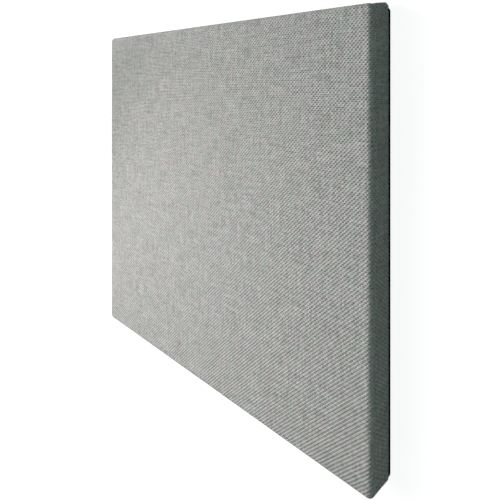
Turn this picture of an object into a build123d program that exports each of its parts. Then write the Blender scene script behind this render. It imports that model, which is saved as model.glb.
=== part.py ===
"""Square acoustic wall panel: a felt board wrapped in woven cloth, lying on its back.

One piece of cloth is pulled over the front and the four sides of the board and turned in on
the back. The spare cloth at each corner is folded into a pleat that lies on the top or the
bottom side. At the top the folds lie flush with the left and right sides, and at the bottom they
are set in. A thin black felt sheet covers the back and the turned-in cloth.

Millimetres. X runs across the width, Y up the height of the panel as it hangs, and +Z out of
its front face. The origin is the middle of the back, on the surface that the panel lies on.
"""

import os
from math import radians, sqrt, tan

from build123d import *

# Overall size, over the cloth and the backing
panel_width = 304.8
panel_height = 304.8
panel_thickness = 25.4

# Thickness of the two sheets
cloth_thickness = 1.0
backing_thickness = 2.0

# Roundings of the bare board, which the cloth follows
board_corner_radius = 3.0
board_front_radius = 2.5
board_rear_radius = 0.5

# Cloth turned in on the back, with a mitre at each corner that stops short of the fold
return_width = 30.0
mitre_gap = 0.6
mitre_margin = 3.0

# Pleat of spare cloth at each corner
pleat_rise = 2.3
pleat_rear_rise = 0.8
pleat_end_length = 3.0
top_set_in = 0.5
bottom_set_in = 3.3
pleat_fold_radius = 0.9
pleat_angle = 45.0
pleat_tip_width = 2.0
pleat_root = 0.5
pleat_depth = 2.2

# Felt sheet on the back, cut with nearly square corners
backing_inset = 0.2
backing_corner_radius = 3.0

# The cloth takes its roundings from the board and its own thickness
cloth_corner_radius = board_corner_radius + cloth_thickness
cloth_front_radius = board_front_radius + cloth_thickness
cloth_rear_radius = board_rear_radius + cloth_thickness

# The bare board, inside the cloth and on the backing
board_width = panel_width - 2 * cloth_thickness
board_height = panel_height - 2 * cloth_thickness
board_top = panel_thickness - cloth_thickness
rebate_level = backing_thickness + cloth_thickness

# The middle of the back, which the turned-in cloth leaves bare
field_width = panel_width - 2 * return_width
field_height = panel_height - 2 * return_width

os.makedirs("parts", exist_ok=True)


# Felt board. Its back is pressed in by the cloth's thickness round the edge, so that the
# turned-in cloth lies level with the bare middle of the board.
with BuildPart() as felt_core:
    with BuildSketch(Plane.XY.offset(rebate_level)):
        RectangleRounded(board_width, board_height, board_corner_radius)
    extrude(amount=board_top - rebate_level)
    fillet(felt_core.faces().sort_by(Axis.Z)[-1].edges(), board_front_radius)
    fillet(felt_core.faces().sort_by(Axis.Z)[0].edges(), board_rear_radius)
    with BuildSketch(Plane.XY.offset(backing_thickness)):
        Rectangle(field_width, field_height)
    extrude(until=Until.NEXT)


# Pleats. Each is a doubled fold of cloth, highest near the rear beside the corner. It runs out
# to nothing at the front edge, fades along a slanting line into the side, and slants down to the
# backing at its rear end.
side_y = panel_height / 2
pleat_front = panel_thickness - cloth_front_radius
pleat_end = backing_thickness + pleat_end_length


def pleat_section(set_in, level, rise):
    """Section of a pleat: the round fold by the corner, then a slope down into the side."""
    fold_x = panel_width / 2 - set_in
    spread = pleat_tip_width + (pleat_front - level) / tan(radians(pleat_angle))
    foot = (fold_x - spread, side_y - pleat_root)
    root_y = side_y - pleat_depth
    knuckle = (fold_x, side_y + rise - pleat_fold_radius)
    crest = (fold_x - pleat_fold_radius, side_y + rise)
    with BuildSketch(Plane.XY.offset(level)) as section:
        with BuildLine():
            Line((fold_x, root_y), knuckle)
            TangentArc(knuckle, crest, tangent=(0, 1))
            TangentArc(crest, foot, tangent=(-1, 0))
            Polyline(foot, (fold_x - spread, root_y), (fold_x, root_y))
        make_face()
    return section.sketch


def pleat_pair(set_in):
    """The two pleats on one side of the panel, each with its fold at a set-in from the corner."""
    sections = [
        pleat_section(set_in, pleat_front, -pleat_root / 2),
        pleat_section(set_in, pleat_end, pleat_rise),
        pleat_section(set_in, backing_thickness, pleat_rear_rise),
    ]
    with BuildPart() as pair:
        loft(sections=sections, ruled=True)
        mirror(about=Plane.YZ)
    return pair.part


# Cloth wrap: the outer form with its pleats, hollowed by the board that it covers and open
# over the bare middle of the back.
with BuildPart() as cloth_wrap:
    with BuildSketch(Plane.XY.offset(backing_thickness)):
        RectangleRounded(panel_width, panel_height, cloth_corner_radius)
    extrude(amount=panel_thickness - backing_thickness)
    fillet(cloth_wrap.faces().sort_by(Axis.Z)[-1].edges(), cloth_front_radius)
    fillet(cloth_wrap.faces().sort_by(Axis.Z)[0].edges(), cloth_rear_radius)
    add(pleat_pair(top_set_in))
    add(pleat_pair(bottom_set_in), rotation=(0, 0, 180))
    add(felt_core.part, mode=Mode.SUBTRACT)

    # Mitres: 45 degree slots between the turned-in flaps, from inside the bare middle outwards
    mitre_length = sqrt(2) * (return_width + mitre_gap - mitre_margin)
    mitre_place = Location((field_width / 2 - mitre_gap, field_height / 2 - mitre_gap), 45)
    with BuildSketch(Plane.XY.offset(backing_thickness)):
        with Locations(mitre_place):
            Rectangle(mitre_length, mitre_gap, align=(Align.MIN, Align.CENTER))
        mirror(about=Plane.YZ)
        mirror(about=Plane.XZ)
    extrude(amount=cloth_thickness, mode=Mode.SUBTRACT)


# Backing: one flat sheet of black felt over the whole back
with BuildPart() as back_sheet:
    with BuildSketch(Plane.XY):
        RectangleRounded(
            panel_width - 2 * backing_inset,
            panel_height - 2 * backing_inset,
            backing_corner_radius,
        )
    extrude(amount=backing_thickness)


for name, piece in (
    ("felt_core", felt_core),
    ("cloth_wrap", cloth_wrap),
    ("back_sheet", back_sheet),
):
    piece.part.label = name
    export_step(piece.part, f"parts/{name}.step")
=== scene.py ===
# %% [markdown]
# # A wall panel wrapped in woven cloth
#
# The object is a square acoustic panel, about 305 mm wide and 25 mm thick. A stiff felt board is
# wrapped in coarse grey cloth, and a thin sheet of black felt closes the back. It lies on its back
# on a pale floor, and the camera looks down on it from the right.
#
# The board and the back sheet come from the construction model and stay as they are. The cloth is
# what everybody sees, so it is made here again, thread by thread, over the same form.

# %% Load the construction model
import math

import bmesh
import bpy
import numpy as np
from mathutils import Matrix, Vector


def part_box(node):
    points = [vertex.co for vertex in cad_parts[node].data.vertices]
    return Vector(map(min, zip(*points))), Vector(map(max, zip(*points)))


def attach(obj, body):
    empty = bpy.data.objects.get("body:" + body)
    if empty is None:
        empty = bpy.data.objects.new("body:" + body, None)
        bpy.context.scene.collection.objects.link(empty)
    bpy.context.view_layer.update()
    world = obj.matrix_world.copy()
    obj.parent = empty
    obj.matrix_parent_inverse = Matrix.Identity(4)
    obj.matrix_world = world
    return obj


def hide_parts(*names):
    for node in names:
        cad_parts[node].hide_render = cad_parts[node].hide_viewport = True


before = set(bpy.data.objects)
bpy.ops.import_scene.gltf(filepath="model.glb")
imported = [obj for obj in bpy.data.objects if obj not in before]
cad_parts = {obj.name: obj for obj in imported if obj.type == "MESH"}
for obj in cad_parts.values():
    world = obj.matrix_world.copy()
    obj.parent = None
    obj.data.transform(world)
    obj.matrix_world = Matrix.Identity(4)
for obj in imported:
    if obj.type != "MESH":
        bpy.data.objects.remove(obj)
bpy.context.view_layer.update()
MM = 0.001

# %% [markdown]
# ## Sizes that the frame gives
#
# Nothing is measured twice. The width and the levels of the cloth are read from the boxes of the
# construction model, so the dressed panel can't drift away from it. The roundings and the pleats
# aren't in a box, so they are written here once, with the values that the solid has.

# %% Sizes of the wrapped panel
cloth_low, cloth_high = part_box("cloth_wrap")

PLEAT_RISE = 2.3 * MM
HALF_WIDTH = cloth_high[0]
HALF_HEIGHT = cloth_high[1] - PLEAT_RISE
TOP = cloth_high[2]
BOTTOM = cloth_low[2]

CLOTH_THICKNESS = 1.0 * MM
CORNER_RADIUS = 4.0 * MM
FRONT_RADIUS = 3.5 * MM
REAR_RADIUS = 1.5 * MM
RETURN_WIDTH = 30.0 * MM
print("face, mm:", round(2 * HALF_WIDTH / MM, 1), "by", round(2 * HALF_HEIGHT / MM, 1))

# %% [markdown]
# ## Materials as arithmetic
#
# A weave is a formula. Its nodes could be placed and wired one by one, but a formula is easier to
# read as one. The small class below wraps one socket of a node tree. When two of them are added or
# multiplied in Python, it adds the Math node that does the same in the shader. Everything else
# goes through one method, `node`.

# %% A socket that can be used in arithmetic
class Signal:
    """A number in a shader: arithmetic on it adds Math nodes."""

    def __init__(self, shader, socket):
        self.shader = shader
        self.socket = socket

    def _math(self, operation, *values):
        sockets = dict(enumerate(values))
        return self.shader.signal("ShaderNodeMath", 0, {"operation": operation}, sockets)

    def __add__(self, other):
        return self._math("ADD", self, other)

    def __sub__(self, other):
        return self._math("SUBTRACT", self, other)

    def __rsub__(self, other):
        return self._math("SUBTRACT", other, self)

    def __mul__(self, other):
        return self._math("MULTIPLY", self, other)

    __radd__ = __add__
    __rmul__ = __mul__

    def cosine(self):
        return self._math("COSINE", self)

    def floor(self):
        return self._math("FLOOR", self)

    def largest(self, other):
        return self._math("MAXIMUM", self, other)

    def between(self, low, high):
        """0 below low, 1 above high, and a smooth step from one to the other."""
        settings = {"interpolation_type": "SMOOTHSTEP"}
        sockets = {"Value": self, "From Min": low, "From Max": high}
        return self.shader.signal("ShaderNodeMapRange", "Result", settings, sockets)


# %% A material and its node tree
class Shader:
    """A node tree with one method for every node and link."""

    def __init__(self, owner):
        owner.use_nodes = True
        self.tree = owner.node_tree
        self.tree.nodes.clear()

    def node(self, kind, settings=None, sockets=None):
        """Add a node: its settings first, then a value or a link for each named socket."""
        made = self.tree.nodes.new(kind)
        for name, value in (settings or {}).items():
            setattr(made, name, value)
        for name, value in (sockets or {}).items():
            source = getattr(value, "socket", value)
            if isinstance(source, bpy.types.NodeSocket):
                self.tree.links.new(source, made.inputs[name])
            else:
                made.inputs[name].default_value = source
        return made

    def signal(self, kind, output, settings=None, sockets=None):
        """Add a node and return one of its outputs for arithmetic."""
        return Signal(self, self.node(kind, settings, sockets).outputs[output])

    def split(self, vector):
        """The X, Y and Z of a vector."""
        parts = self.node("ShaderNodeSeparateXYZ", {}, {"Vector": vector})
        return [Signal(self, part) for part in parts.outputs]

    def join(self, x, y, z=0.0):
        """A vector from three numbers."""
        return self.signal("ShaderNodeCombineXYZ", "Vector", {}, {"X": x, "Y": y, "Z": z})

    def noise(self, vector, scale, detail=2.0, roughness=0.5):
        """Smooth noise from 0 to 1."""
        sockets = {"Vector": vector, "Scale": scale, "Detail": detail, "Roughness": roughness}
        return self.signal("ShaderNodeTexNoise", 0, {"noise_dimensions": "3D"}, sockets)

    def blend(self, share, first, second, how="MIX"):
        """A colour between two others, or one laid over the other."""
        settings = {"data_type": "RGBA", "blend_type": how}
        sockets = {0: share, 6: first, 7: second}
        return self.signal("ShaderNodeMix", 2, settings, sockets)

    def bump(self, height, strength, distance):
        """The normal of a surface that is raised and lowered a little."""
        sockets = {"Height": height, "Strength": strength, "Distance": distance}
        return self.signal("ShaderNodeBump", "Normal", {}, sockets)

    def principled(self, sockets):
        """Finish the tree with a Principled shader."""
        self.finish(self.node("ShaderNodeBsdfPrincipled", {}, sockets))

    def finish(self, surface, kind="ShaderNodeOutputMaterial"):
        """Link a shader node to the tree's output."""
        self.node(kind, {}, {"Surface": surface.outputs[0]})


def colour(red, green, blue):
    """A linear colour with full alpha."""
    return (red, green, blue, 1.0)


# %% [markdown]
# ## The camera
#
# The photograph was taken with the panel upright and the camera level, so its vertical edges stay
# parallel. Here the panel lies down, so the same view looks down on it, with the panel's own
# height as the picture's up direction. The camera's place was found from the corners of the face.
# A camera could be turned until the panel is in the frame, but then the vertical edges would lean
# together. A level camera that frames something below its own height needs a shifted lens instead,
# as a view camera has. The shift is what the framing needs and no more.

# %% Camera
# The picture's side, the focal length and the place of the lens's axis, in pixels
PICTURE = 500
FOCAL_PX = 443.4
AXIS_X_PX = 226.0
AXIS_Y_PX = 84.3
CAMERA_TURN = math.radians(45.26)
CAMERA_PLACE = Vector((280.9, 102.2, 277.1)) * MM
SENSOR = 36.0

camera_data = bpy.data.cameras.new("camera")
camera_data.sensor_width = SENSOR
camera_data.lens = FOCAL_PX / PICTURE * SENSOR
camera_data.shift_x = (PICTURE / 2 - AXIS_X_PX) / PICTURE
camera_data.shift_y = (AXIS_Y_PX - PICTURE / 2) / PICTURE
camera_data.clip_start = 0.01
camera_data.clip_end = 50

turn_cos, turn_sin = math.cos(CAMERA_TURN), math.sin(CAMERA_TURN)
camera_axes = Matrix(((turn_cos, 0, turn_sin), (0, 1, 0), (-turn_sin, 0, turn_cos)))
camera = bpy.data.objects.new("camera", camera_data)
camera.matrix_world = Matrix.Translation(CAMERA_PLACE) @ camera_axes.to_4x4()
bpy.context.scene.collection.objects.link(camera)
bpy.context.scene.camera = camera
shift = [round(value, 3) for value in (camera_data.shift_x, camera_data.shift_y)]
print("lens, mm:", round(camera_data.lens, 2), "shift:", shift)

# %% [markdown]
# ## The cloth: where its threads run
#
# Woven cloth is two sets of threads that cross at right angles. On this panel one set runs up the
# height and the other across the width, about 1.3 mm apart. A flat sheet with a drawn pattern
# would be lighter, but its mesh would have nothing of the weave in it. So the sheet is a grid with
# one line along the middle of each thread. It follows the cloth exactly, and each crossing can be
# raised or lowered by itself. Lines are added only where the flat of the face ends.

# %% Thread lines
WARP_THREADS, WEFT_THREADS = 233, 225
WARP_PITCH = 2 * HALF_WIDTH / WARP_THREADS
WEFT_PITCH = 2 * HALF_HEIGHT / WEFT_THREADS
FLAT_X, FLAT_Y = HALF_WIDTH - FRONT_RADIUS, HALF_HEIGHT - FRONT_RADIUS
STRAIGHT_X, STRAIGHT_Y = HALF_WIDTH - CORNER_RADIUS, HALF_HEIGHT - CORNER_RADIUS


def thread_lines(high, pitch, *stops):
    """Lines from 0 to high: the middle of each thread, and the given stops.

    The middle of thread n lies n and a half pitches out. A middle that falls closer than a third
    of a pitch to a stop is left out, so that no sliver faces appear.
    """
    middles = (np.arange(int(high / pitch) + 1) + 0.5) * pitch
    fixed = np.array(stops)
    clear = np.abs(middles[:, None] - fixed[None, :]).min(axis=1) > pitch / 3
    return np.sort(np.concatenate((middles[clear & (middles < high)], fixed)))


half_lines_x = thread_lines(FLAT_X, WARP_PITCH, STRAIGHT_X, FLAT_X)
half_lines_y = thread_lines(FLAT_Y, WEFT_PITCH, STRAIGHT_Y, FLAT_Y)
lines_x = np.concatenate((-half_lines_x[::-1], half_lines_x))
lines_y = np.concatenate((-half_lines_y[::-1], half_lines_y))
print("grid lines on the face:", len(lines_x), "by", len(lines_y))

# %% The face, with the relief of the weave
RELIEF = 0.09 * MM


def weave_relief(across, up):
    """Height of the woven surface: a product of two sines, one for each set of threads.

    It is highest where an upright thread is on top and lowest where a level one is.
    """
    return RELIEF * np.sin(np.pi * across / WARP_PITCH) * np.sin(np.pi * up / WEFT_PITCH)


def vectors(*parts):
    """Points or places from their coordinates, which are first stretched to one shape."""
    return np.stack(np.broadcast_arrays(*parts), axis=-1)


face_x, face_y = np.meshgrid(lines_x, lines_y, indexing="ij")
face_z = TOP + weave_relief(face_x, face_y)
face_points = vectors(face_x, face_y, face_z)
face_flat = vectors(face_x, face_y)
print("relief of the weave, mm:", round(float(np.ptp(face_z)) / MM, 2))

# %% [markdown]
# ## The cloth: its path over the edge
#
# From the flat of the face the cloth bends over the front edge, runs down the side, bends round
# the rear edge and is turned in on the back. A Bevel modifier could round a plain box like that,
# but it wouldn't know where the threads lie. The path is one curve, so it is written as one
# function of the length along the cloth. It gives how far the cloth lies inside the outline, its
# height, and the angle that it faces. On the sides the photograph shows the threads further apart
# than on the face, as if the cloth was pulled harder there, so they are counted more slowly.

# %% Path over the edge
SIDE_TOP = TOP - FRONT_RADIUS
FRONT_ARC = math.pi / 2 * FRONT_RADIUS
REAR_ARC = math.pi / 2 * REAR_RADIUS
SIDE_RUN = SIDE_TOP - (BOTTOM + REAR_RADIUS)
WRAP_RUN = FRONT_ARC + SIDE_RUN + REAR_ARC


def edge_path(run):
    """Inset, height and facing angle after a run of cloth from the flat of the face.

    A quarter turn of the front radius, a straight drop, and a quarter turn of the rear radius.
    The angle is 0 facing up, a quarter turn facing out, and half a turn facing down.
    """
    front = np.clip(run, 0, FRONT_ARC) / FRONT_RADIUS
    drop = np.clip(run - FRONT_ARC, 0, SIDE_RUN)
    rear = np.clip(run - FRONT_ARC - SIDE_RUN, 0, REAR_ARC) / REAR_RADIUS
    inset = FRONT_RADIUS * (1 - np.sin(front)) + REAR_RADIUS * (1 - np.cos(rear))
    height = TOP - FRONT_RADIUS * (1 - np.cos(front)) - drop - REAR_RADIUS * np.sin(rear)
    return inset, height, front + rear


# %% Rows along the path
BEND_STEPS = 5

front_runs = np.linspace(0, FRONT_ARC, BEND_STEPS + 1)[:-1]
drop_runs = FRONT_ARC + np.linspace(0, SIDE_RUN, round(SIDE_RUN / WEFT_PITCH) + 1)
rear_runs = np.linspace(FRONT_ARC + SIDE_RUN, WRAP_RUN, BEND_STEPS + 1)[1:]
runs = np.concatenate((front_runs, drop_runs, rear_runs))
inset, height, facing = edge_path(runs)

# The threads lie this much wider apart on the sides than on the face
SIDE_OPENING = 1.45
counted_runs = np.where(runs < FRONT_ARC, runs, FRONT_ARC + (runs - FRONT_ARC) / SIDE_OPENING)
print("rows from the face to the back:", len(runs))

# %% [markdown]
# ## The cloth: round one corner
#
# The left half of the panel mirrors the right half, so one top corner and one bottom corner are
# worked out and then mirrored. Each grid line that reaches the right edge of the face goes on down
# the side as a column. Round the corner the columns fan out, up to the crease of the pleat. They
# all start from the corner of the flat face. The bottom corners are rounded at the front and nearly
# square at the back, as the outline in the photograph shows, so their rounding can be filled out.

# %% Columns that go over the edge
SQUARE_POWER = 8
reach = CORNER_RADIUS - inset
side_lines_y = half_lines_y[half_lines_y <= STRAIGHT_Y]
side_lines_x = half_lines_x[half_lines_x <= STRAIGHT_X][::-1]


def outline_columns(x, y, angle):
    """Columns round the outline: each has its centre of rounding and the direction it faces."""
    return vectors(x, y, np.cos(angle), np.sin(angle))


def over_edge(outline, squareness=0.0):
    """Points and facings of columns that run from the face over the edge to the back.

    Squareness fills the rounding of the corner towards the back: the rounding goes from a circle
    to a curve whose eighth powers add up to one, which is nearly a square.
    """
    x, y, out_x, out_y = (part[:, None] for part in outline.T)
    power_sum = np.abs(out_x) ** SQUARE_POWER + np.abs(out_y) ** SQUARE_POWER
    square = power_sum ** (-1 / SQUARE_POWER)
    depth = np.clip((SIDE_TOP - height) / (SIDE_TOP - BOTTOM), 0, 1)
    full_reach = reach * (1 + (square - 1) * squareness * depth)
    points = vectors(x + out_x * full_reach, y + out_y * full_reach, height)
    return points, vectors(out_x * np.sin(facing), out_y * np.sin(facing), np.cos(facing))


print("straight columns in a quarter:", len(side_lines_y), "up,", len(side_lines_x), "across")

# %% The right side and the fan round the corner
FAN_COLUMNS = 5


def right_columns(crease_angle):
    """Outline and flat places of the right side's columns and of the fan up to the crease."""
    fan = np.linspace(0, crease_angle, FAN_COLUMNS + 1)[1:]
    angle = np.concatenate((np.zeros(len(side_lines_y)), fan))
    base_y = np.concatenate((side_lines_y, np.full(FAN_COLUMNS, STRAIGHT_Y)))
    flat_y = (base_y + CORNER_RADIUS * angle)[:, None]
    return outline_columns(STRAIGHT_X, base_y, angle), vectors(FLAT_X + counted_runs, flat_y)


print("columns on half of the right side:", len(side_lines_y) + FAN_COLUMNS)

# %% [markdown]
# ## The cloth: the pleat at each corner
#
# Flat cloth can't turn a corner. There is always a square of it too many, and the upholsterer
# folds that square into one pleat that lies on the top or the bottom side. A cloth simulation
# would find some fold, but hardly the one in the photograph, so this one is drawn. It stands a
# little proud near the back and runs out to nothing at the front edge. At the top its folded edge
# lies right at the corner, where the photograph shows it against the white. At the bottom it is
# set in, out of sight. Two functions describe it: how high its crest is at each level, and how the
# flap falls away beside it.

# %% Pleat heights
TOP_SET_IN = 0.5 * MM
BOTTOM_SET_IN = 3.3 * MM
PLEAT_REAR_RISE = 0.8 * MM
PLEAT_END = 3.0 * MM
PLEAT_ROOT = 0.5 * MM
PLEAT_TIP = 2.0 * MM
FOLD_RADIUS = 0.9 * MM

crest_levels = (BOTTOM, BOTTOM + PLEAT_END, SIDE_TOP)
crest_rises = (PLEAT_REAR_RISE, PLEAT_RISE, -PLEAT_ROOT / 2)

# The crest over the cloth's own outline, which draws back where the rear edge is rounded
crest = np.interp(height, crest_levels, crest_rises) + inset
crest = np.where(height < SIDE_TOP, np.maximum(crest, 0), 0)

# 0 where the corner is still plain, and 1 where the crest is high enough to have left it
FREE_CREST = 0.3 * MM
lifted = np.minimum(crest / FREE_CREST, 1)


def flap_out(x, fold_x):
    """How far the flap stands over the outline: a parabola from the crest to its slanting foot."""
    spread = PLEAT_TIP + np.maximum(SIDE_TOP - height, 0)
    share = np.clip((fold_x - x - FOLD_RADIUS) / (spread - FOLD_RADIUS), 0, 1)
    return np.maximum(crest - (crest + PLEAT_ROOT) * share**2, 0)


print("crest of the pleat, mm:", round(float(crest.max()) / MM, 2))

# %% [markdown]
# Seen along the side, the fold is a loop: from the crease by the corner it goes in under the
# flap, out round the fold, and up to the crest. The loop is a short list of points in shares of
# the fold's size, and it shrinks to nothing as the pleat runs out. The last four points hang from
# the crest, so a higher pleat has a longer straight part between.

# %% The fold
FOLD_IN = np.array((0.0, 0.45, 0.6, 0.3, 0.0, 0.05, 0.3, 0.65, 1.0))[:, None]
FOLD_UP = np.array((0.0, 0.03, 0.2, 0.42, 0.66, 0.82, 0.95, 1.0, 1.0))[:, None]
FOLD_HANGS = np.array((0, 0, 0, 0, 0, 1, 1, 1, 1))[:, None]
LOOP_HEIGHT = 2.2 * MM

# The loop has moved from the crease to the fold's own place after a fifth of its height
STAND_OFF_RATE = 5


def fold_columns(crease, crease_angle, fold_x):
    """Points of the fold, from the crease by the corner to the crest."""
    full = crest + reach * (1 - math.sin(crease_angle)) * lifted
    loop = np.minimum(full, LOOP_HEIGHT)
    size = FOLD_RADIUS * np.minimum(full / (2 * FOLD_RADIUS), 1)
    stand_off = (fold_x - crease[:, 0]) * lifted * np.minimum(FOLD_UP * STAND_OFF_RATE, 1)
    x = crease[:, 0] + stand_off - FOLD_IN * size
    y = crease[:, 1] + FOLD_UP * loop + FOLD_HANGS * (full - loop)
    return vectors(x, y, height)


print("points round the fold:", len(FOLD_IN))

# %% The shoulder between the crest and the flap
SHOULDER_COLUMNS = 3
SHOULDER_SHARE = np.linspace(0, 1, SHOULDER_COLUMNS + 2)[1:-1]


def shoulder_columns(crest_x, crease_angle, fold_x, squareness):
    """Outline and points beside the crest.

    They lie on the flap where there is a pleat, and on the plain rounding where there is none.
    """
    angle = crease_angle + SHOULDER_SHARE * (math.pi / 2 - crease_angle)
    outline = outline_columns(STRAIGHT_X, STRAIGHT_Y, angle)
    plain = over_edge(outline, squareness)[0]
    x = crest_x + (STRAIGHT_X - crest_x) * SHOULDER_SHARE[:, None]
    flap = vectors(x, STRAIGHT_Y + reach + flap_out(x, fold_x), height)
    return outline, plain + (flap - plain) * lifted[:, None]


# %% One quarter of the ring
def quarter(set_in, squareness):
    """All columns of one corner: points, facings, flat places, outline and corner flags."""
    fold_x = HALF_WIDTH - set_in
    crease_angle = math.acos(1 - set_in / CORNER_RADIUS)
    right_outline, right_flat = right_columns(crease_angle)
    right_points, right_facing = over_edge(right_outline, squareness)
    fold = fold_columns(right_points[-1], crease_angle, fold_x)
    crest_x = fold[-1, :, 0]
    shoulder_outline, shoulder = shoulder_columns(crest_x, crease_angle, fold_x, squareness)
    top_outline = outline_columns(side_lines_x, STRAIGHT_Y, math.pi / 2)
    top_points, top_facing = over_edge(top_outline)
    top_points[..., 1] += flap_out(top_points[..., 0], fold_x)

    corner = np.concatenate((fold, shoulder))
    steps = np.diff(np.concatenate((corner, top_points[:1])), axis=0)
    lengths = np.cumsum(np.linalg.norm(steps[..., :2], axis=-1)[::-1], axis=0)[::-1]
    corner_flat = vectors(STRAIGHT_X + lengths, FLAT_Y + counted_runs)
    top_flat = vectors(top_points[..., 0], FLAT_Y + counted_runs)

    fold_outline = np.repeat(right_outline[-1:], len(fold), axis=0)
    flags = np.ones(FAN_COLUMNS + len(corner), dtype=bool)
    return {
        "points": np.concatenate((right_points, corner, top_points)),
        "facing": np.concatenate((right_facing, np.zeros_like(corner), top_facing)),
        "flat": np.concatenate((right_flat, corner_flat, top_flat)),
        "outline": np.concatenate((right_outline, fold_outline, shoulder_outline, top_outline)),
        "corner": np.pad(flags, (len(side_lines_y), len(side_lines_x))),
    }


top_quarter = quarter(TOP_SET_IN, squareness=0.0)
bottom_quarter = quarter(BOTTOM_SET_IN, squareness=1.0)
print("columns in a quarter:", len(top_quarter["points"]))

# %% [markdown]
# ## The cloth: the ring of all four sides
#
# The two quarters are mirrored left to right, the bottom one also top to bottom, and the four are
# put in order round the outline. A Mirror modifier would mirror the relief of the weave too, and
# then the threads wouldn't take turns across the middle. So the relief is added last, from the
# thread count, along the direction that the surface faces. It is lower on the front bend, where
# the cloth is pulled tight over the edge. It fades out round the rear edge, and the corners have
# none.

# %% Mirror the quarters
def all_quarters(name, pairs=1):
    """One array of the whole ring, in order round the outline.

    Every second quarter is walked backwards, so that the ring has one direction. Each value
    starts with this many pairs of an X and a Y, which change sign with their quarter.
    """
    parts = []
    for turn, (sign_x, sign_y) in enumerate(((1, 1), (-1, 1), (-1, -1), (1, -1))):
        values = (top_quarter if sign_y > 0 else bottom_quarter)[name]
        part = values[::-1] if turn % 2 else values
        if pairs:
            sign = np.ones(values.shape[-1])
            sign[0 : 2 * pairs : 2] = sign_x
            sign[1 : 2 * pairs : 2] = sign_y
            part = part * sign
        parts.append(part)
    return np.concatenate(parts)


ring_points = all_quarters("points")
ring_facing = all_quarters("facing")
ring_flat = all_quarters("flat")
ring_outline = all_quarters("outline", pairs=2)
ring_corner = all_quarters("corner", pairs=0)
print("ring:", ring_points.shape[:2])

# %% Raise the weave and join the ring to the face
# The relief goes from full at the face to this share round the bend, and is full on the side
BEND_RELIEF = 0.35
bend_stops = np.array((0, 0.3, 1, 1.5)) * FRONT_ARC
on_bend = np.interp(runs, bend_stops, (1, BEND_RELIEF, BEND_RELIEF, 1))
at_rear = np.clip((WRAP_RUN - runs) / REAR_ARC, 0, 1)
relief = weave_relief(ring_flat[..., 0], ring_flat[..., 1]) * (at_rear * on_bend)
relief = np.where(ring_corner[:, None], 0, relief)
ring_points = ring_points + ring_facing * relief[..., None]

corner_x = np.sign(ring_points[:, 0, 0]) * FLAT_X
corner_y = np.sign(ring_points[:, 0, 1]) * FLAT_Y
corner_points = vectors(corner_x, corner_y, TOP + weave_relief(corner_x, corner_y))
ring_points[:, 0] = np.where(ring_corner[:, None], corner_points, ring_points[:, 0])
print("columns that start from a corner of the flat face:", int(ring_corner.sum()))

# %% [markdown]
# ## The cloth: one closed mesh
#
# Cloth has a thickness, so the mesh gets an inner skin 1 mm under the outer one. A Solidify
# modifier could add it, with as many faces as the outer skin has. Nobody sees it, so here it has
# only the rows that its shape needs, and one flat face closes it under the front. The outer and
# the inner skin meet along the cut edge of the cloth, on the back.

# %% Inner skin and cut edge
def inner_row(row_inset, row_height):
    """One row of the ring, rounded at the corners, at an inset and a height."""
    place = ring_outline[:, :2] + ring_outline[:, 2:] * (CORNER_RADIUS - row_inset)
    return np.concatenate((place, np.full((len(place), 1), row_height)), axis=1)


def cut_row(row_height):
    """The row along the cut edge of the cloth: the same columns, drawn in to a rectangle."""
    half = np.array((HALF_WIDTH - RETURN_WIDTH, HALF_HEIGHT - RETURN_WIDTH))
    place = inner_row(0, row_height)
    place[:, :2] *= half / (HALF_WIDTH, HALF_HEIGHT)
    return place


INNER_RADIUS = FRONT_RADIUS - CLOTH_THICKNESS

# How far in and how far down the inner bend has come when it is half round
half_way = INNER_RADIUS * (1 - math.sqrt(0.5))
inner_rows = (
    cut_row(BOTTOM),
    cut_row(BOTTOM + CLOTH_THICKNESS),
    inner_row(CLOTH_THICKNESS, BOTTOM + CLOTH_THICKNESS),
    inner_row(CLOTH_THICKNESS, SIDE_TOP),
    inner_row(CLOTH_THICKNESS + half_way, TOP - CLOTH_THICKNESS - half_way),
    inner_row(FRONT_RADIUS, TOP - CLOTH_THICKNESS),
)
all_rows = np.concatenate((ring_points, np.stack(inner_rows, axis=1)), axis=1)
tail_flat = np.repeat(ring_flat[:, -1:], len(inner_rows), axis=1)
all_flat = np.concatenate((ring_flat, tail_flat), axis=1)
print("rows in a column, with the inner skin:", all_rows.shape[1])


# %% Faces of the grid and the ring
def grid_faces(index):
    """Four-cornered faces between neighbouring points of an index grid."""
    corners = (index[:-1, :-1], index[1:, :-1], index[1:, 1:], index[:-1, 1:])
    return np.stack(corners, axis=-1).reshape(-1, 4)


face_index = np.arange(face_points[..., 0].size).reshape(face_points.shape[:2])
ring_index = face_index.size + np.arange(all_rows[..., 0].size).reshape(all_rows.shape[:2])
closed_ring = np.concatenate((ring_index, ring_index[:1]))[:, ::-1]
points = np.concatenate((face_points.reshape(-1, 3), all_rows.reshape(-1, 3)))
thread_count = np.concatenate((face_flat.reshape(-1, 2), all_flat.reshape(-1, 2)))
thread_count = thread_count / (WARP_PITCH, WEFT_PITCH)
quads = np.concatenate((grid_faces(face_index), grid_faces(closed_ring)))
lid = ring_index[::-1, -1]
print("points:", len(points), "faces:", len(quads) + 1)

# %% [markdown]
# The whole mesh is read from arrays in one go. The flat place of each point goes into the mesh's
# own UV map, counted in threads, so that the material can draw each thread where it really runs,
# also round the edges. Points that lie on each other are merged at the end, which closes every
# seam.

# %% Build the mesh
MERGE_DISTANCE = 2e-7

cloth_mesh = bpy.data.meshes.new("woven_wrap")
cloth_mesh.from_pydata(points.tolist(), [], quads.tolist() + [lid.tolist()])
uv_layer = cloth_mesh.uv_layers.new(name="threads")
loop_points = np.empty(len(cloth_mesh.loops), dtype=np.int64)
cloth_mesh.loops.foreach_get("vertex_index", loop_points)
uv_layer.data.foreach_set("uv", thread_count[loop_points].ravel())

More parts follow.
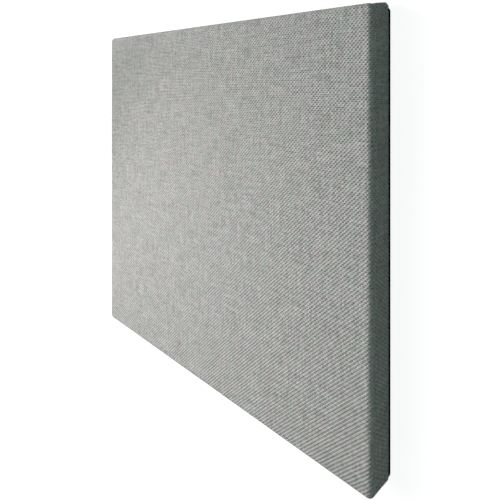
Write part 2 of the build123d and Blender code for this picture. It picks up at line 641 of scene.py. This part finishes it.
work = bmesh.new()
work.from_mesh(cloth_mesh)
bmesh.ops.remove_doubles(work, verts=work.verts, dist=MERGE_DISTANCE)
open_edges = sum(not edge.is_manifold for edge in work.edges)
print("open or crossed edges:", open_edges, "volume, cm3:", round(work.calc_volume() * 1e6, 1))
work.to_mesh(cloth_mesh)
work.free()
cloth_mesh.polygons.foreach_set("use_smooth", np.ones(len(cloth_mesh.polygons), dtype=bool))

cloth = bpy.data.objects.new("woven_wrap", cloth_mesh)
bpy.context.scene.collection.objects.link(cloth)
print("cloth triangles:", sum(len(p.vertices) - 2 for p in cloth_mesh.polygons))

# %% [markdown]
# ## The cloth: its finish
#
# The yarn is grey with a little colour in it. Where a thread comes to the surface it catches the
# light, and the gap beside it stays dark: the colour paints this as a painted highlight on each
# thread and painted shade in each gap, and the bump raises the threads as well. The bright spots
# lean over and join into fine diagonal lines, partly from the twist of the yarn and partly as
# painted shading of the raised threads by the lamps on the left. A picture of cloth could be laid
# on the panel, but its threads wouldn't meet those of the mesh, and it would blur close up. Waves
# on the thread count meet them and stay sharp. Three of them make the pattern: a strong one along
# one diagonal, a weaker one along the other, and one for the rows of threads. The sides get only
# the room's light, so there the waves paint the weaker shading of room light: the first wave and
# the rows are weaker, and the second one a little stronger. On the front bend all three are
# weaker.

# %% The waves of the weave
# Strength of each wave on the lamp-lit face and on the room-lit sides, in painted shading
LEAN_WAVE = (1.0, 0.3)
CROSS_WAVE = (0.42, 0.50)
ROW_WAVE = (0.72, 0.52)

# The rows stand a little off the diagonals, and the strong diagonal wanders a little
ROW_SHIFT = 0.4
WANDER = 0.5
WANDER_SCALE = 0.35

# Levels between which the sides come in, and those between which the bend starts and ends
SIDE_LEVELS = (TOP - 1.5 * FRONT_RADIUS, TOP - 0.5 * FRONT_RADIUS)
BEND_START = (TOP - 1.0 * MM, TOP - 0.2 * MM)
BEND_FOOT = (TOP - 5.0 * MM, TOP - 2.5 * MM)
BEND_LOSS = 0.6


def weave_waves(shader, threads, place):
    """About 2 on a thread's painted highlight, and about -2 in the painted shade of the gaps."""
    u, v, _ = shader.split(threads)
    level = shader.split(place)[2]
    # 1 on the sides: the waves there paint the shading of room light, weaker than the lamps' on the
    #                 face
    side = 1 - level.between(*SIDE_LEVELS)
    bend = (1 - level.between(*BEND_START)) * level.between(*BEND_FOOT)

    def wave(phase, strengths):
        on_face, on_side = strengths
        return phase.cosine() * (on_face + side * (on_side - on_face))

    wander = (shader.noise(threads, WANDER_SCALE, detail=1.0) - 0.5) * WANDER
    lean = wave((u - v + wander) * math.pi, LEAN_WAVE)
    cross = wave((u + v) * math.pi, CROSS_WAVE)
    rows = wave(v * (2 * math.pi) + ROW_SHIFT, ROW_WAVE)
    return (lean - cross + rows) * (1 - bend * BEND_LOSS)


# %% [markdown]
# No two threads are alike. Noise that is stretched along the threads makes some of them lighter or
# darker for a while, and one more random number gives each crossing a shade of its own.

# %% The shade of the yarn
SLUB_STRETCH = 0.06
SLUB_STRENGTH = 0.8
SPOT_STRENGTH = 0.5


def yarn_shade(shader, threads):
    """Around 0, and higher where the yarn is lighter."""
    u, v, _ = shader.split(threads)
    cell = shader.join(u.floor(), v.floor())
    settings = {"noise_dimensions": "2D"}
    spot = shader.signal("ShaderNodeTexWhiteNoise", "Value", settings, {"Vector": cell})
    slub_up = shader.noise(shader.join(u, v * SLUB_STRETCH), scale=1.0, detail=1.0)
    slub_across = shader.noise(shader.join(u * SLUB_STRETCH, v), scale=1.0, detail=1.0)
    return (slub_up + slub_across - 1.0) * SLUB_STRENGTH + (spot - 0.5) * SPOT_STRENGTH


# %% [markdown]
# The waves, with their painted highlight and shade, and the shade of the yarn together say how
# light each spot is, and they also raise it a little, with the fibres on top. Larger patches are
# tinted a little rose or green, as in real heather yarn. The surface is matt, with a faint sheen
# from the fibres.

# %% Woven cloth material
# Ends of the cloth's range: the yarn's own tone plus painted shade in gaps and painted highlights
CLOTH_DARK = colour(0.140, 0.135, 0.134)
CLOTH_LIGHT = colour(0.682, 0.664, 0.646)
CLOTH_ROSE = colour(1.035, 0.985, 1.015)
CLOTH_GREEN = colour(0.965, 1.010, 0.990)
PAINTED_WEAVE_SHADE, YARN_LIGHT = 0.38, 0.95
LIGHT_RANGE = (-1.15, 1.2)
PATCH_RANGE = (0.3, 0.7)
PATCH_SCALE, FIBRE_SCALE = 110.0, 9.0
THREAD_BUMP, FIBRE_BUMP = 0.5, 0.3


def woven_cloth():
    """Cloth with leaning bright spots, one for each crossing of the threads."""
    material = bpy.data.materials.new("woven_cloth")
    shader = Shader(material)
    threads = shader.signal("ShaderNodeUVMap", "UV", {"uv_map": "threads"})
    place = shader.signal("ShaderNodeTexCoord", "Object")
    weave = weave_waves(shader, threads, place)
    yarn = yarn_shade(shader, threads)

    # The weave adds painted highlight and shade of the threads, and the yarn adds its own random
    # tone
    light = (weave * PAINTED_WEAVE_SHADE + yarn * YARN_LIGHT).between(*LIGHT_RANGE)
    base = shader.blend(light, CLOTH_DARK, CLOTH_LIGHT)
    patch = shader.noise(place, PATCH_SCALE, detail=3.0, roughness=0.6)
    tint = shader.blend(patch.between(*PATCH_RANGE), CLOTH_ROSE, CLOTH_GREEN)
    fibre = shader.noise(threads, FIBRE_SCALE)
    relief = weave * THREAD_BUMP + yarn * THREAD_BUMP + fibre * FIBRE_BUMP
    shader.principled(
        {
            "Base Color": shader.blend(1.0, base, tint, "MULTIPLY"),
            "Roughness": 0.92,
            "Specular IOR Level": 0.18,
            "Sheen Weight": 0.12,
            "Sheen Roughness": 0.6,
            "Normal": shader.bump(relief, strength=0.95, distance=0.2 * MM),
        },
    )
    print("nodes in the cloth's material:", len(shader.tree.nodes))
    return material


# %% Finish the cloth
cloth_mesh.materials.append(woven_cloth())
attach(cloth, "root")
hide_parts("cloth_wrap")
turned_in = RETURN_WIDTH - REAR_RADIUS
FLAT_WIDTH = 2 * (FLAT_X + WRAP_RUN + turned_in)
FLAT_HEIGHT = 2 * (FLAT_Y + WRAP_RUN + turned_in)
print("cloth cut to, mm:", round(FLAT_WIDTH / MM), "by", round(FLAT_HEIGHT / MM))

# %% [markdown]
# ## Felt
#
# Felt has no threads. It is a mat of short fibres pressed together, so its surface is a fine
# tangle with no direction, and it has no gloss. Each fibre could be a hair, but the sheet shows
# only as a thin black line, and the board not at all. Fine noise, stretched once along each
# direction, gives the tangle for both.

# %% Felt material
FIBRE_STRETCH = 0.3
FIBRE_DETAIL, FIBRE_ROUGHNESS = 4.0, 0.65
TANGLE_RANGE = (0.4, 0.75)


def felt(name, dark, light, fibre_scale):
    """Pressed felt: two colours mixed by a fine tangle, with the same tangle as its bump."""
    material = bpy.data.materials.new(name)
    shader = Shader(material)
    x, y, z = shader.split(shader.signal("ShaderNodeTexCoord", "Object"))
    fibres = (fibre_scale, FIBRE_DETAIL, FIBRE_ROUGHNESS)
    along_x = shader.noise(shader.join(x * FIBRE_STRETCH, y, z), *fibres)
    along_y = shader.noise(shader.join(x, y * FIBRE_STRETCH, z), *fibres)
    tangle = along_x.largest(along_y)
    shader.principled(
        {
            "Base Color": shader.blend(tangle.between(*TANGLE_RANGE), dark, light),
            "Roughness": 0.95,
            "Specular IOR Level": 0.0,
            "Normal": shader.bump(tangle, strength=0.5, distance=0.3 * MM),
        },
    )
    return material


# %% Felt on the sheet and the board
BLACK_DARK, BLACK_LIGHT = colour(0.002, 0.002, 0.002), colour(0.008, 0.008, 0.009)
BOARD_DARK, BOARD_LIGHT = colour(0.30, 0.31, 0.30), colour(0.52, 0.53, 0.52)
BLACK_FIBRES, BOARD_FIBRES = 900.0, 500.0


def finish_node(name, material):
    """Give a node of the construction model its material."""
    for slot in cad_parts[name].material_slots:
        slot.material = material
    print(name, "is finished as felt")


finish_node("back_sheet", felt("black_felt", BLACK_DARK, BLACK_LIGHT, BLACK_FIBRES))
finish_node("felt_core", felt("board_felt", BOARD_DARK, BOARD_LIGHT, BOARD_FIBRES))

# %% [markdown]
# ## Floor and light
#
# The photograph shows the panel on plain white. A floor that is really so bright would fill the
# dark side of the panel with light. So the floor is white only for the camera and for reflections,
# and a mid grey for light that bounces. Part of what the camera sees is still real reflected
# light, and that part carries the panel's soft shadow.

# %% Rays that see the background
def seen_directly(shader):
    """1 for rays from the camera and for reflections or refractions, and 0 for the rest."""
    path = shader.node("ShaderNodeLightPath")
    camera_ray = Signal(shader, path.outputs["Is Camera Ray"])
    glossy_ray = Signal(shader, path.outputs["Is Glossy Ray"])
    clear_ray = Signal(shader, path.outputs["Is Transmission Ray"])
    return camera_ray.largest(glossy_ray).largest(clear_ray)


# %% Floor
FLOOR_HALF = 20.0
FLOOR_GREY = colour(0.25, 0.25, 0.25)
WHITE = colour(1, 1, 1)

# The glow of the floor under the panel and far from it, and where it changes, in metres
GLOW_NEAR = 0.90
GLOW_FAR = 1.0
GLOW_START = 0.17
GLOW_END = 0.45

floor_signs = ((-1, -1), (1, -1), (1, 1), (-1, 1))
floor_corners = [(x * FLOOR_HALF, y * FLOOR_HALF, 0) for x, y in floor_signs]
floor_mesh = bpy.data.meshes.new("floor")
floor_mesh.from_pydata(floor_corners, [], [(0, 1, 2, 3)])
floor = bpy.data.objects.new("floor", floor_mesh)
bpy.context.scene.collection.objects.link(floor)

floor_material = bpy.data.materials.new("pale_floor")
floor_shader = Shader(floor_material)
floor_place = floor_shader.signal("ShaderNodeTexCoord", "Object")
from_middle = floor_shader.signal(
    "ShaderNodeVectorMath", "Value", {"operation": "LENGTH"}, {0: floor_place}
)
glow_level = GLOW_NEAR + from_middle.between(GLOW_START, GLOW_END) * (GLOW_FAR - GLOW_NEAR)
glow_seen = seen_directly(floor_shader) * glow_level
glow = floor_shader.node("ShaderNodeEmission", {}, {"Color": WHITE, "Strength": glow_seen})
matt = floor_shader.node("ShaderNodeBsdfDiffuse", {}, {"Color": FLOOR_GREY})
both = {0: glow.outputs[0], 1: matt.outputs[0]}
floor_shader.finish(floor_shader.node("ShaderNodeAddShader", {}, both))
floor_mesh.materials.append(floor_material)
print("floor, m:", 2 * FLOOR_HALF, "by", 2 * FLOOR_HALF)

# %% [markdown]
# Two soft lamps light the face from the left, and neither reaches the right side. One lamp alone
# would leave the far corner of the face too dark. The near one makes the face brightest beside it.
# The far one stands further up and carries the light across to the upper right. Both stand low
# enough for the front edge on the right to fall into shade halfway round its bend, as it does in
# the photograph. The room adds a weak, slightly green light, which is all that the right side
# gets.

# %% Lamps
LAMP_COLOUR = (1.0, 0.952, 0.958)


def soft_lamp(name, place, aim, size, watts):
    """A round lamp at a place, turned to a point on the level of the face, in metres."""
    data = bpy.data.lights.new(name, "AREA")
    data.shape = "DISK"
    data.size = size
    data.energy = watts
    data.color = LAMP_COLOUR
    lamp = bpy.data.objects.new(name, data)
    lamp.location = place
    lamp.rotation_mode = "QUATERNION"
    lamp.rotation_quaternion = (Vector((*aim, TOP)) - Vector(place)).to_track_quat("-Z", "Y")
    bpy.context.scene.collection.objects.link(lamp)
    print(name, "at", place, "with", watts, "W")


soft_lamp("near_lamp", place=(-0.194, -0.036, 0.379), aim=(1.51, -1.60), size=0.5, watts=1.98)
soft_lamp("far_lamp", place=(-0.45, 0.30, 0.477), aim=(0.44, 0.536), size=0.3, watts=4.65)

# %% Room light
ROOM_COLOUR = colour(0.69, 0.985, 0.885)
ROOM_LEVEL = 0.257

world = bpy.data.worlds.new("room")
bpy.context.scene.world = world
room = Shader(world)
dim = room.node("ShaderNodeBackground", {}, {"Color": ROOM_COLOUR, "Strength": ROOM_LEVEL})
white = room.node("ShaderNodeBackground", {}, {"Color": WHITE, "Strength": 1.0})
either = {0: seen_directly(room), 1: dim.outputs[0], 2: white.outputs[0]}
room.finish(room.node("ShaderNodeMixShader", {}, either), "ShaderNodeOutputWorld")

bpy.context.scene.view_settings.view_transform = "Standard"
print("room light:", ROOM_LEVEL)
